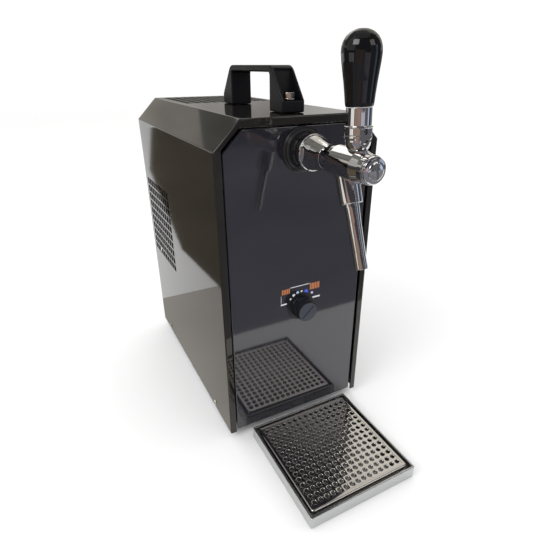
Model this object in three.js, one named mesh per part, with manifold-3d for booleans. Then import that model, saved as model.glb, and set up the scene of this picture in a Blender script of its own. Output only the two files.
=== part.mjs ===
// A one-tap countertop beer cooler: a folded steel casing on rubber feet with a compensator tap,
// a thermostat knob, a carry handle, a loose drip tray and the cooling plant inside the casing.
// Millimetres, +Z up, the tap points towards -Y.
import * as THREE from "three";
import { mergeVertices } from "three/addons/utils/BufferGeometryUtils.js";
import Module from "manifold-3d";

const wasm = await Module();
wasm.setup();

// ---------------------------------------------------------------- casing dimensions
const GAP = 0.3; // between neighbouring pieces
const FLOOR_CLEARANCE = 11; // floor to the casing's lower edge
const CASING_WIDTH = 200;
const CASING_DEPTH = 337;
const CASING_HEIGHT = 391;
const CASING_CHAMFER = 29.5;
const SHEET = 1.5;
const HALF_WIDTH = CASING_WIDTH / 2;
const CASING_TOP = FLOOR_CLEARANCE + CASING_HEIGHT;

// how far an arch-shaped outline lies inside the casing's: at the side, the top and the chamfer
const FLANGE_INSETS = [8.3, 8.7, 5];
const PANEL_INSETS = [10, 10, 8.7];
const PANEL_RECESS = 2;
const PANEL_RETURN = 12; // depth of the panels' folded edges
const PANEL_BOTTOM = FLOOR_CLEARANCE + 1.2;
const FRONT_FACE = PANEL_RECESS;
const REAR_FACE = CASING_DEPTH - PANEL_RECESS;

const VENT_COUNT = 10; // square holes each way
const VENT_PITCH = 12.4;
const VENT_HOLE = 9.8;
const VENT_Y = 262; // middle of the vents along the casing
const VENT_Z = FLOOR_CLEARANCE + 213; // middle of the side vents
const REAR_SLOTS = 8;
const REAR_SLOT_PITCH = 11;
const REAR_SLOT_BOTTOM = 205;
const REAR_SLOT_HALF = 55;

const PAN_LIP = 22; // height of the base pan's upturned sides
const FOOT_RADIUS = 10;
const FOOT_X = 82;
const FOOT_Y = [24, CASING_DEPTH - 24];
const SCREW_Y = [58, 288];
const SCREW_Z = FLOOR_CLEARANCE + 8;
const SCREW_HOLE = 2.3;

// ---------------------------------------------------------------- handle and thermostat dimensions
const HANDLE_Y = 104; // middle of the carry handle
const HANDLE_WIDTH = 27;
const HANDLE_HEIGHT = 45.8;
const HANDLE_REACH = 83.5; // middle to the end of a foot
const HANDLE_LEG = 52.7; // middle to the inner face of a leg
const HANDLE_LEDGE = 12; // height of the ledge the bolt sits on
const HANDLE_BAR = 7;
const HANDLE_WALL = 3;
const HANDLE_BOLTS = [HANDLE_Y - 73, HANDLE_Y + 73];
const HANDLE_HOLE = 3.4;

const KNOB_X = 3;
const KNOB_Z = FLOOR_CLEARANCE + 166;
const KNOB_RADIUS = 14.2;
const KNOB_FRONT = -16.5;
const KNOB_RIBS = 18;
const SHAFT_RADIUS = 2.9;

// ---------------------------------------------------------------- tap dimensions
const TAP_Z = FLOOR_CLEARANCE + 356.8; // height of the tap's long axis
const TAP_BORE = 8.5;
const SHANK_RADIUS = 12.2;
const BODY_RADIUS = 14.8;
const BODY_FRONT = -115.3;
const CAP_TIP = -122;
const CAP_SLOT_FLOOR = -119.6;
const BODY_REAR = -50;
const PIVOT_Y = -92.5;
const PIVOT_Z = TAP_Z + 21;
const LEVER_BALL = 11.2;
const LEVER_LEAN = 3.2; // degrees back from upright at rest
const FINGER_RADIUS = 2.5;
const FINGER_LENGTH = 23;
const PISTON_TIP = -90.5;
const PISTON_ROD = 3.6;
const SPOUT_TILT = 21.8; // degrees forward from straight down
const SPOUT_Y = -88.3; // the spout's axis passes through SPOUT_Y, SPOUT_Z
const SPOUT_Z = FLOOR_CLEARANCE + 325;

// ---------------------------------------------------------------- drip tray dimensions
const TRAY_WIDTH = 145;
const TRAY_LENGTH = 148;
const TRAY_HEIGHT = 17;
const TRAY_WALL = 1;
const TRAY_REAR = -8.5;
const TRAY_FRONT = TRAY_REAR - TRAY_LENGTH;
const GRILLE_WIDTH = 134.5;
const GRILLE_LENGTH = 137;
const GRILLE_TOP = 16.6;
const GRILLE_Y = -81.5;
const GRILLE_CORNER = 4;
const GRILLE_HOLES = 15; // each way
const GRILLE_PITCH = 8.4;
const GRILLE_HOLE = 2.4; // radius

// ---------------------------------------------------------------- dimensions inside the casing
const BLOCK = { half: 42, front: 62, back: 138, low: 92, high: 268 };
const FOAM_WALL = 22;
const COMPRESSOR = { x: 36, y: 246, radius: 50, low: 34, high: 158 };
const COMPRESSOR_FOOT = { x: 38, y: 44 };
const CONDENSER = { outer: -94, inner: -72, half: 59, fins: 13, pitch: 8.8 };
const FAN = { outer: -71.7, inner: -46, half: 59, opening: 54, blade: 51, hub: 18 };
const INLET_X = 55;
const INLET_Z = 46;
const SWITCH_X = 12;
const ROCKER_TILT = 7; // degrees: one half pressed in
const FITTING_X = -58;
const FITTING_Z = 340;
const FITTING_REACH = 24; // how far the beer inlet stands out of the back
const REAR_LIMIT = CASING_DEPTH + FITTING_REACH;

// ---------------------------------------------------------------- materials
function finish(color, roughness, metalness) {
  return new THREE.MeshStandardMaterial({ color, roughness, metalness });
}
const powderCoat = finish(0x17171a, 0.32, 0);
const blackPlastic = finish(0x1c1c1d, 0.5, 0);
const glossBlack = finish(0x08080a, 0.12, 0);
const scalePrint = finish(0x26282c, 0.4, 0);
const compressorPaint = finish(0x101012, 0.45, 0);
const rubber = finish(0x1a1a1a, 0.9, 0);
const foam = finish(0xd9d4c4, 0.95, 0);
const hose = finish(0xcfd3d2, 0.35, 0);
const chrome = finish(0xd8d9db, 0.08, 1);
const stainless = finish(0xb9b8b2, 0.3, 1);
const zincSteel = finish(0x9a9c9e, 0.45, 1);
const aluminium = finish(0xb4b6b8, 0.4, 1);
const copper = finish(0xb06a45, 0.3, 1);

// ---------------------------------------------------------------- solids
// welds a geometry's vertices, drops empty triangles and turns all faces outward
function closed(geometry) {
  const bare = new THREE.BufferGeometry();
  bare.setAttribute("position", geometry.getAttribute("position"));
  bare.setIndex(geometry.getIndex());
  const merged = mergeVertices(bare, 1e-4);
  const position = merged.getAttribute("position");
  const index = merged.getIndex();
  const corners = [];
  const [a, b, c] = [new THREE.Vector3(), new THREE.Vector3(), new THREE.Vector3()];
  let volume = 0;
  for (let i = 0; i < index.count; i += 3) {
    const triangle = [index.getX(i), index.getX(i + 1), index.getX(i + 2)];
    if (new Set(triangle).size === 3) {
      corners.push(triangle);
      a.fromBufferAttribute(position, triangle[0]);
      b.fromBufferAttribute(position, triangle[1]);
      c.fromBufferAttribute(position, triangle[2]);
      volume += a.dot(b.cross(c));
    }
  }
  merged.setIndex((volume < 0 ? corners.map((triangle) => triangle.reverse()) : corners).flat());
  return merged;
}

function solid(geometry) {
  const hull = closed(geometry);
  return new wasm.Manifold(new wasm.Mesh({
    numProp: 3,
    vertProperties: new Float32Array(hull.getAttribute("position").array),
    triVerts: new Uint32Array(hull.getIndex().array),
  }));
}

function geometryOf(manifold) {
  const mesh = manifold.getMesh();
  const geometry = new THREE.BufferGeometry();
  geometry.setAttribute("position", new THREE.BufferAttribute(new Float32Array(mesh.vertProperties), 3));
  geometry.setIndex(new THREE.BufferAttribute(new Uint32Array(mesh.triVerts), 1));
  return geometry;
}

function cut(body, ...tools) {
  return geometryOf(tools.reduce((rest, tool) => rest.subtract(solid(tool)), solid(body)));
}

function join(...bodies) {
  return geometryOf(bodies.map(solid).reduce((sum, body) => sum.add(body)));
}

function box(low, high) {
  const size = high.map((value, axis) => value - low[axis]);
  const middle = high.map((value, axis) => (value + low[axis]) / 2);
  return new THREE.BoxGeometry(...size).translate(...middle);
}

// a round bar along one axis between two positions on it
function rod(axis, radius, from, to, sides, at = [0, 0, 0]) {
  const geometry = new THREE.CylinderGeometry(radius, radius, to - from, sides);
  geometry.translate(0, (from + to) / 2, 0);
  if (axis === "x") {
    geometry.rotateZ(-Math.PI / 2);
  }
  if (axis === "z") {
    geometry.rotateX(Math.PI / 2);
  }
  return geometry.translate(...at);
}

// a turned piece about the Y axis from [radius, y] pairs
function turned(profile, sides) {
  return new THREE.LatheGeometry(profile.map(([r, y]) => new THREE.Vector2(r, y)), sides);
}

// a turned piece about the Z axis from [radius, z] pairs
function turnedUpright(profile, sides) {
  return turned(profile, sides).rotateX(Math.PI / 2);
}

// a drawn outline, run anticlockwise, with holes in it
function outline(points, holes = []) {
  const vectors = (loop) => loop.map(([u, v]) => new THREE.Vector2(u, v));
  const edge = vectors(points);
  const shape = new THREE.Shape(THREE.ShapeUtils.isClockWise(edge) ? edge.reverse() : edge);
  shape.holes = holes.map((hole) => new THREE.Path(vectors(hole)));
  return shape;
}

// a plate drawn in X and Y, from one height to another
function flatPlate(shape, low, high) {
  return new THREE.ExtrudeGeometry(shape, { depth: high - low, bevelEnabled: false }).translate(0, 0, low);
}

// a plate drawn in X and Z, from y = front to y = back
function frontPlate(shape, front, back) {
  return flatPlate(shape, 0, back - front).rotateX(Math.PI / 2).translate(0, back, 0);
}

// a plate drawn in Y and Z, from x = left to x = right
function sidePlate(shape, left, right) {
  return flatPlate(shape, left, right).rotateX(Math.PI / 2).rotateZ(Math.PI / 2);
}

function circle(radius, sides, middle = [0, 0]) {
  return Array.from({ length: sides }, (_, i) => {
    const angle = (i / sides) * 2 * Math.PI;
    return [middle[0] + radius * Math.cos(angle), middle[1] + radius * Math.sin(angle)];
  });
}

function tube(points, radius, steps, sides) {
  const path = new THREE.CatmullRomCurve3(points.map((p) => new THREE.Vector3(...p)), false, "centripetal");
  return new THREE.ExtrudeGeometry(outline(circle(radius, sides)), { steps, extrudePath: path, bevelEnabled: false });
}

function place(group, name, geometry, material, position = [0, 0, 0]) {
  const mesh = new THREE.Mesh(closed(geometry), material);
  mesh.name = name;
  mesh.position.set(...position);
  group.add(mesh);
  return mesh;
}

// the four corners of a rectangle, each with a name
function corners(x, y) {
  return [
    ["front_left", -x, y[0]],
    ["front_right", x, y[0]],
    ["rear_left", -x, y[1]],
    ["rear_right", x, y[1]],
  ];
}

// ---------------------------------------------------------------- casing
// from the lower left corner over the chamfered top to the lower right one
function arch([side, top, chamfer], bottom) {
  const wall = HALF_WIDTH - side;
  const shoulder = HALF_WIDTH - CASING_CHAMFER + top - chamfer * Math.SQRT2;
  const eaves = CASING_TOP - CASING_CHAMFER + side - chamfer * Math.SQRT2;
  const roof = CASING_TOP - top;
  return [[-wall, bottom], [-wall, eaves], [-shoulder, roof], [shoulder, roof], [wall, eaves], [wall, bottom]];
}

function ventHoles() {
  const half = VENT_HOLE / 2;
  const steps = Array.from({ length: VENT_COUNT }, (_, i) => (i - (VENT_COUNT - 1) / 2) * VENT_PITCH);
  const holes = [];
  for (const along of steps) {
    const y = VENT_Y + along;
    for (const across of steps) {
      const z = VENT_Z + across;
      holes.push(box([-HALF_WIDTH - 1, y - half, z - half], [-HALF_WIDTH + SHEET + 1, y + half, z + half]));
      holes.push(box([HALF_WIDTH - SHEET - 1, y - half, z - half], [HALF_WIDTH + 1, y + half, z + half]));
      holes.push(box(
        [across - half, y - half, CASING_TOP - SHEET - 1],
        [across + half, y + half, CASING_TOP + 1],
      ));
    }
  }
  return holes;
}

function screwHoles(x) {
  return corners(x, SCREW_Y).map(([, side, y]) => rod("x", SCREW_HOLE, -5, 5, 8, [side, y, SCREW_Z]));
}

function coverGeometry() {
  const outer = arch([0, 0, 0], FLOOR_CLEARANCE);
  const inner = arch([SHEET, SHEET, SHEET], FLOOR_CLEARANCE).reverse();
  const lip = arch(FLANGE_INSETS, FLOOR_CLEARANCE).reverse();
  const flange = outline([...outer, ...lip]);
  const folded = join(
    frontPlate(outline([...outer, ...inner]), 0, CASING_DEPTH),
    frontPlate(flange, 0, SHEET),
    frontPlate(flange, CASING_DEPTH - SHEET, CASING_DEPTH),
  );
  const boltHoles = HANDLE_BOLTS.map((y) => rod("z", HANDLE_HOLE, -5, 5, 8, [0, y, CASING_TOP]));
  return cut(folded, ...ventHoles(), ...screwHoles(HALF_WIDTH), ...boltHoles);
}

// a panel with folded edges; inward is 1 when they point towards +Y and -1 towards -Y
function endPanel(face, inward) {
  const edge = arch(PANEL_INSETS, PANEL_BOTTOM);
  const inside = arch(PANEL_INSETS.map((inset) => inset + SHEET), PANEL_BOTTOM + SHEET);
  const [skin, rim] = [SHEET, PANEL_RETURN].map((depth) => [face, face + inward * depth].sort((p, q) => p - q));
  return join(frontPlate(outline(edge), ...skin), frontPlate(outline(edge, [inside]), ...rim));
}

function buildCasing(group) {
  place(group, "cover", coverGeometry(), powderCoat);

  place(group, "front_panel", cut(
    endPanel(FRONT_FACE, 1),
    rod("y", SHANK_RADIUS + GAP, -5, 20, 20, [0, FRONT_FACE, TAP_Z]),
    rod("y", 5, -5, 20, 12, [KNOB_X, FRONT_FACE, KNOB_Z]),
  ), glossBlack);

  const slots = Array.from({ length: REAR_SLOTS }, (_, i) => REAR_SLOT_BOTTOM + i * REAR_SLOT_PITCH);
  place(group, "rear_panel", cut(
    endPanel(REAR_FACE, -1),
    box([INLET_X - 14, REAR_FACE - 5, INLET_Z - 10], [INLET_X + 14, REAR_FACE + 5, INLET_Z + 10]),
    box([SWITCH_X - 10, REAR_FACE - 5, INLET_Z - 7], [SWITCH_X + 10, REAR_FACE + 5, INLET_Z + 7]),
    rod("y", 8.2, -5, 5, 12, [FITTING_X, REAR_FACE, FITTING_Z]),
    ...slots.map((z) => box(
      [-REAR_SLOT_HALF, REAR_FACE - 5, z],
      [REAR_SLOT_HALF, REAR_FACE + 5, z + REAR_SLOT_PITCH / 2],
    )),
  ), powderCoat);

  const panHalf = HALF_WIDTH - SHEET - GAP;
  const panFront = FRONT_FACE + PANEL_RETURN + GAP;
  const panBack = REAR_FACE - PANEL_RETURN - GAP;
  const panFloor = FLOOR_CLEARANCE;
  place(group, "base_pan", cut(
    box([-panHalf, panFront, panFloor], [panHalf, panBack, panFloor + PAN_LIP]),
    box([-panHalf + SHEET, panFront - 1, panFloor + SHEET], [panHalf - SHEET, panBack + 1, panFloor + PAN_LIP + 1]),
    ...corners(FOOT_X, FOOT_Y).map(([, x, y]) => rod("z", 3.7, -5, 5, 8, [x, y, panFloor])),
    ...screwHoles(panHalf),
  ), zincSteel);

  const footTop = FLOOR_CLEARANCE - GAP;
  const foot = turnedUpright([
    [0, 0], [FOOT_RADIUS - 1.5, 0], [FOOT_RADIUS, 1.5], [FOOT_RADIUS - 1, footTop], [3, footTop],
    [3, footTop + 3.5], [0, footTop + 3.5],
  ], 12);
  for (const [corner, x, y] of corners(FOOT_X, FOOT_Y)) {
    place(group, `foot_${corner}`, foot, rubber, [x, y, 0]);
  }

  const screwProfile = [[0, -6], [1.9, -6], [1.9, GAP], [4, GAP], [3.4, 1.4], [1.5, 2], [0, 2]];
  for (const [corner, x, y] of corners(HALF_WIDTH, SCREW_Y)) {
    const screw = turned(screwProfile, 8).rotateZ(-Math.sign(x) * Math.PI / 2);
    place(group, `cover_screw_${corner}`, screw, zincSteel, [x, y, SCREW_Z]);
  }
}

// ---------------------------------------------------------------- carry handle
function buildHandle(group) {
  const seat = CASING_TOP + GAP;
  const half = HANDLE_WIDTH / 2;
  const under = HANDLE_HEIGHT - HANDLE_BAR;
  const flip = ([along, up]) => [-along, up];
  const outer = [
    [HANDLE_REACH, 0], [HANDLE_REACH, HANDLE_LEDGE], [63.5, 37.2], [61, 41], [58, 43.9], [54, 45.4],
    [50, HANDLE_HEIGHT],
  ];
  const inner = [[HANDLE_LEG, 0], [HANDLE_LEG, under - 5], [HANDLE_LEG - 5, under]];
  const profile = [...outer, ...outer.map(flip).reverse(), ...inner.map(flip), ...[...inner].reverse()];
  const pocket = [[HANDLE_REACH + 1, HANDLE_LEDGE], [HANDLE_REACH + 1, 42.5], [57, 42.5], [62, HANDLE_LEDGE]];
  place(group, "carry_handle", cut(
    sidePlate(outline(profile), -half, half),
    sidePlate(outline(pocket), -half + HANDLE_WALL, half - HANDLE_WALL),
    sidePlate(outline(pocket.map(flip)), -half + HANDLE_WALL, half - HANDLE_WALL),
    ...HANDLE_BOLTS.map((y) => rod("z", HANDLE_HOLE, -1, HANDLE_LEDGE + 5, 10, [0, y - HANDLE_Y, 0])),
  ), blackPlastic, [0, HANDLE_Y, seat]);

  const headLow = HANDLE_LEDGE + GAP;
  const bolt = join(
    rod("z", 5.8, headLow + 1.5, headLow + 7.5, 6),
    rod("z", 6.8, headLow, headLow + 2, 16),
    rod("z", 3, -8, headLow + 1, 10),
  );
  place(group, "handle_bolt_front", bolt, chrome, [0, HANDLE_BOLTS[0], seat]);
  place(group, "handle_bolt_rear", bolt, chrome, [0, HANDLE_BOLTS[1], seat]);
}

// ---------------------------------------------------------------- thermostat
function buildThermostat(group) {
  const dial = new THREE.Group();
  dial.position.set(KNOB_X, 0, KNOB_Z);
  group.add(dial);

  const scaleBack = FRONT_FACE - GAP;
  const scaleFront = scaleBack - 0.6;
  const scale = join(
    frontPlate(outline(circle(18.5, 32)), scaleFront, scaleBack),
    box([-27.5, scaleFront, 7], [27.5, scaleBack, 28.5]),
  );
  place(dial, "thermostat_scale", cut(scale, rod("y", 5, -3, 6, 12)), scalePrint);

  const base = scaleFront - GAP;
  const bore = SHAFT_RADIUS + GAP;
  const knob = turned([
    [0, KNOB_FRONT], [KNOB_RADIUS - 2.4, KNOB_FRONT], [KNOB_RADIUS - 1.2, KNOB_FRONT + 1.2],
    [KNOB_RADIUS, base - 1.5], [KNOB_RADIUS, base], [bore, base], [bore, KNOB_FRONT + 5], [0, KNOB_FRONT + 5],
  ], 36);
  const flutes = circle(KNOB_RADIUS + 0.2, KNOB_RIBS).map(([x, z]) => (
    rod("y", 1, KNOB_FRONT - 1, base - 2.5, 4, [x, 0, z])
  ));
  place(dial, "thermostat_knob", cut(knob, ...flutes), blackPlastic);

  const behind = FRONT_FACE + SHEET + GAP;
  place(dial, "thermostat_body", join(
    box([-16, behind, -20], [16, behind + 26, 20]),
    rod("y", 4.6, scaleFront, behind + 1, 12),
    rod("y", SHAFT_RADIUS, KNOB_FRONT + 6, behind + 1, 12),
  ), zincSteel);
}

// ---------------------------------------------------------------- tap
function buildTap(group) {
  const tap = new THREE.Group();
  tap.position.z = TAP_Z;
  group.add(tap);

  const seat = FRONT_FACE - GAP;
  const bore = SHANK_RADIUS + GAP;
  place(tap, "tap_escutcheon", turned([
    [bore, seat], [23.9, seat], [23.9, -0.4], [22.6, -1.6], [21.8, -4], [20, -5.7], [bore, -5.7], [bore, seat],
  ], 28), blackPlastic);

  const nut = turned([
    [bore, -6], [18.6, -6], [18.6, -12.4], [17.6, -13.4], [15.6, -13.4], [15.6, -20.4], [bore, -20.4], [bore, -6],
  ], 24);
  const notches = Array.from({ length: 8 }, (_, i) => (
    box([-1.6, -14, 17.2], [1.6, -8, 21]).rotateY((i / 8) * 2 * Math.PI)
  ));
  place(tap, "tap_ring_nut", cut(nut, ...notches), blackPlastic);

  place(tap, "tap_shank", turned([
    [5, -20.7], [SHANK_RADIUS, -20.7], [SHANK_RADIUS, 34], [5, 34], [5, -20.7],
  ], 24), chrome);
  const panelBack = FRONT_FACE + SHEET + GAP;
  place(tap, "tap_back_nut", cut(
    rod("y", 18, panelBack, panelBack + 7, 6),
    rod("y", bore, 0, 20, 24),
  ), zincSteel);

  const rear = BODY_REAR + GAP;
  place(tap, "tap_collar", cut(
    turned([
      [TAP_BORE, -21], [18.4, -21], [18.7, -22.2], [18.2, -23.4], [17.4, -24], [16.2, -29], [14.8, -34.5],
      [13.7, -40], [12.9, -44.5], [12.3, rear], [TAP_BORE, rear], [TAP_BORE, -21],
    ], 28),
    box([15.4, -46, -20], [30, -24.9, 20]),
    box([-30, -46, -20], [-15.4, -24.9, 20]),
  ), chrome);

  const pivot = PIVOT_Z - TAP_Z;
  place(tap, "tap_body", cut(
    turned([
      [TAP_BORE, BODY_REAR], [12.3, BODY_REAR], [12.5, -54], [13.9, -62], [BODY_RADIUS, -68],
      [BODY_RADIUS, -100], [12.8, -109], [12.8, BODY_FRONT], [TAP_BORE, BODY_FRONT], [TAP_BORE, BODY_REAR],
    ], 28),
    new THREE.SphereGeometry(LEVER_BALL + GAP, 24, 14).translate(0, PIVOT_Y, pivot),
    sidePlate(outline([
      [PIVOT_Y - 4.3, pivot - 5], [PIVOT_Y + 6.1, pivot - 5], [PIVOT_Y + 14.8, 0], [PIVOT_Y - 7.9, 0],
    ]), -FINGER_RADIUS - 0.7, FINGER_RADIUS + 0.7),
    alongSpout(rod("z", 5, 0, 34, 16)).translate(0, 0, -TAP_Z),
  ), chrome);

  const face = BODY_FRONT - GAP;
  place(tap, "tap_end_cap", cut(
    turned([
      [0, face], [12.3, face], [12.3, -116.4], [11.4, -116.8], [12, -117.3], [12, -118.4], [11.1, -119.6],
      [8.8, -120.3], [8.4, -120], [8.2, -120.7], [6.8, -121.4], [4, -121.8], [0, CAP_TIP],
    ], 28),
    box([-1.2, CAP_TIP - 1, -7.4], [1.2, CAP_SLOT_FLOOR, 7.4]).rotateY(-0.25),
  ), chrome);

  place(tap, "valve_piston", turned([
    [0, PISTON_TIP], [PISTON_ROD * 0.71, PISTON_TIP + PISTON_ROD * 0.29], [PISTON_ROD, PISTON_TIP + PISTON_ROD],
    [PISTON_ROD, -60], [7.4, -55.5], [7.4, -51], [0, -50],
  ], 20), stainless);
}

function buildLever(group) {
  const lever = new THREE.Group();
  lever.position.set(0, PIVOT_Y, PIVOT_Z);
  lever.rotation.x = -THREE.MathUtils.degToRad(LEVER_LEAN);
  group.add(lever);

  const start = Math.asin(FINGER_RADIUS / LEVER_BALL);
  const ballSteps = 6;
  const ball = Array.from({ length: ballSteps + 1 }, (_, i) => {
    const angle = start + (i / ballSteps) * (Math.PI / 2 - start);
    return [LEVER_BALL * Math.sin(angle), -LEVER_BALL * Math.cos(angle)];
  });
  place(lever, "tap_lever", cut(
    turnedUpright([
      [0, -FINGER_LENGTH], [1.6, -FINGER_LENGTH], [FINGER_RADIUS, 1 - FINGER_LENGTH], ...ball,
      [LEVER_BALL, 1.6], [12, 2.8], [12, 4.7], [11.6, 5], [11.6, 5.6], [12, 5.9], [12, 11], [12.4, 11.4],
      [12.3, 12.3], [11.1, 12.6], [11.1, 27.2], [0, 27.2],
    ], 24),
    box([-15, -15, -5], [15, -10.3, 10.8]),
    rod("y", 2.3, -12, -4, 12, [0, 0, 8]),
  ), chrome);
  place(lever, "lever_set_screw", turned([
    [0, -8], [1.1, -8], [1.1, -9.3], [2, -9.3], [2, -4.4], [0, -4.4],
  ], 12), zincSteel, [0, 0, 8]);
  place(lever, "tap_knob", turnedUpright([
    [0, 27.5], [11.6, 27.5], [12.3, 29], [13.1, 38.5], [14.1, 47], [15.2, 54.5], [16.2, 61.5], [16.8, 68],
    [16.5, 72.2], [15.4, 76], [13.5, 79.3], [10.6, 82.1], [6.8, 84.3], [3, 85.2], [0, 85.4],
  ], 24), glossBlack);
}

// turns a piece drawn up the Z axis onto the spout's axis
function alongSpout(geometry) {
  return geometry.rotateX(-THREE.MathUtils.degToRad(SPOUT_TILT)).translate(0, SPOUT_Y, SPOUT_Z);
}

function buildSpout(group) {
  place(group, "spout_nozzle", cut(
    alongSpout(turnedUpright([
      [5, 26], [11.4, 26], [11.2, 18], [11, 9.7], [10.8, 0], [10.7, -3.4], [10.2, -4.2], [7.6, -4.2], [7.6, 5.9],
      [5, 5.9], [5, 26],
    ], 24)),
    rod("y", BODY_RADIUS + GAP, -130, 0, 28, [0, 0, TAP_Z]),
  ), chrome);
  place(group, "spout_tube", alongSpout(turnedUpright([
    [5.3, -66], [6, -66], [6.3, -64.8], [6.2, -50], [6.5, -22], [7.1, -7], [7.2, 5.6], [5.4, 5.6],
    [5.3, -50], [5.3, -66],
  ], 16)), chrome);
}

// ---------------------------------------------------------------- drip tray
// the grille's outline with cut corners, drawn in by an inset
function grilleEdge(inset) {
  const x = GRILLE_WIDTH / 2 - inset;
  const front = GRILLE_Y - GRILLE_LENGTH / 2 + inset;
  const back = GRILLE_Y + GRILLE_LENGTH / 2 - inset;
  const nip = 1.2;
  return [
    [-x + nip, front], [x - nip, front], [x, front + nip], [x, back - nip],
    [x - nip, back], [-x + nip, back], [-x, back - nip], [-x, front + nip],
  ];
}

function buildTray(group) {
  const half = TRAY_WIDTH / 2;
  const inner = half - TRAY_WALL;
  place(group, "drip_tray", cut(
    box([-half, TRAY_FRONT, 0], [half, TRAY_REAR, TRAY_HEIGHT]),
    box([-inner, TRAY_FRONT + TRAY_WALL, TRAY_WALL], [inner, TRAY_REAR - TRAY_WALL, TRAY_HEIGHT + 1]),
  ), stainless);

  const steps = Array.from({ length: GRILLE_HOLES }, (_, i) => (i - (GRILLE_HOLES - 1) / 2) * GRILLE_PITCH);
  const holes = steps.flatMap((x) => steps.map((y) => circle(GRILLE_HOLE, 4, [x, GRILLE_Y + y])));
  const plateLow = GRILLE_TOP - TRAY_WALL;
  place(group, "drip_grille", join(
    flatPlate(outline(grilleEdge(0), holes), plateLow, GRILLE_TOP),
    flatPlate(outline(grilleEdge(0), [grilleEdge(TRAY_WALL)]), TRAY_WALL + GAP, GRILLE_TOP),
  ), stainless);
}

// ---------------------------------------------------------------- cold side
function buildColdSide(group) {
  const low = [-BLOCK.half - FOAM_WALL, BLOCK.front - FOAM_WALL, BLOCK.low - FOAM_WALL];
  const high = [BLOCK.half + FOAM_WALL, BLOCK.back + FOAM_WALL, BLOCK.high];
  place(group, "insulation_case", cut(
    box(low, high),
    box(
      [-BLOCK.half - GAP, BLOCK.front - GAP, BLOCK.low - GAP],
      [BLOCK.half + GAP, BLOCK.back + GAP, BLOCK.high + 1],
    ),
  ), foam);
  place(group, "cooling_block", box(
    [-BLOCK.half, BLOCK.front, BLOCK.low],
    [BLOCK.half, BLOCK.back, BLOCK.high - GAP],
  ), aluminium);

  const lidLow = BLOCK.high + GAP;
  const ports = [[-20, 100], [20, 100], [0, 124]];
  place(group, "insulation_lid", cut(
    box([low[0], low[1], lidLow], [high[0], high[1], lidLow + FOAM_WALL]),
    ...ports.map(([x, y]) => rod("z", 6.2, lidLow - 5, lidLow + FOAM_WALL + 5, 10, [x, y, 0])),
  ), foam);

  place(group, "beer_line_in", tube([
    [-20, 100, lidLow], [-20, 100, lidLow + 30], [-30, 130, lidLow + 58], [-50, 220, FITTING_Z],
    [FITTING_X, 290, FITTING_Z], [FITTING_X, CASING_DEPTH - 20.4, FITTING_Z],
  ], 4, 20, 8), hose);
  place(group, "beer_line_out", tube([
    [20, 100, lidLow], [20, 100, lidLow + 30], [14, 92, TAP_Z - 20], [4, 66, TAP_Z], [0, 50, TAP_Z],
    [0, 34.4, TAP_Z],
  ], 4, 18, 8), hose);
  const wall = CASING_DEPTH - 1.7;
  place(group, "beer_inlet_fitting", turned([
    [2.5, wall - 18], [6.5, wall - 18], [6.5, wall - 5], [7.8, wall - 5], [7.8, wall], [10.5, wall],
    [10.5, wall + 6], [8, wall + 7], [8, wall + 20], [6.5, REAR_LIMIT], [2.5, REAR_LIMIT], [2.5, wall - 18],
  ], 12), blackPlastic, [FITTING_X, 0, FITTING_Z]);
}

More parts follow.
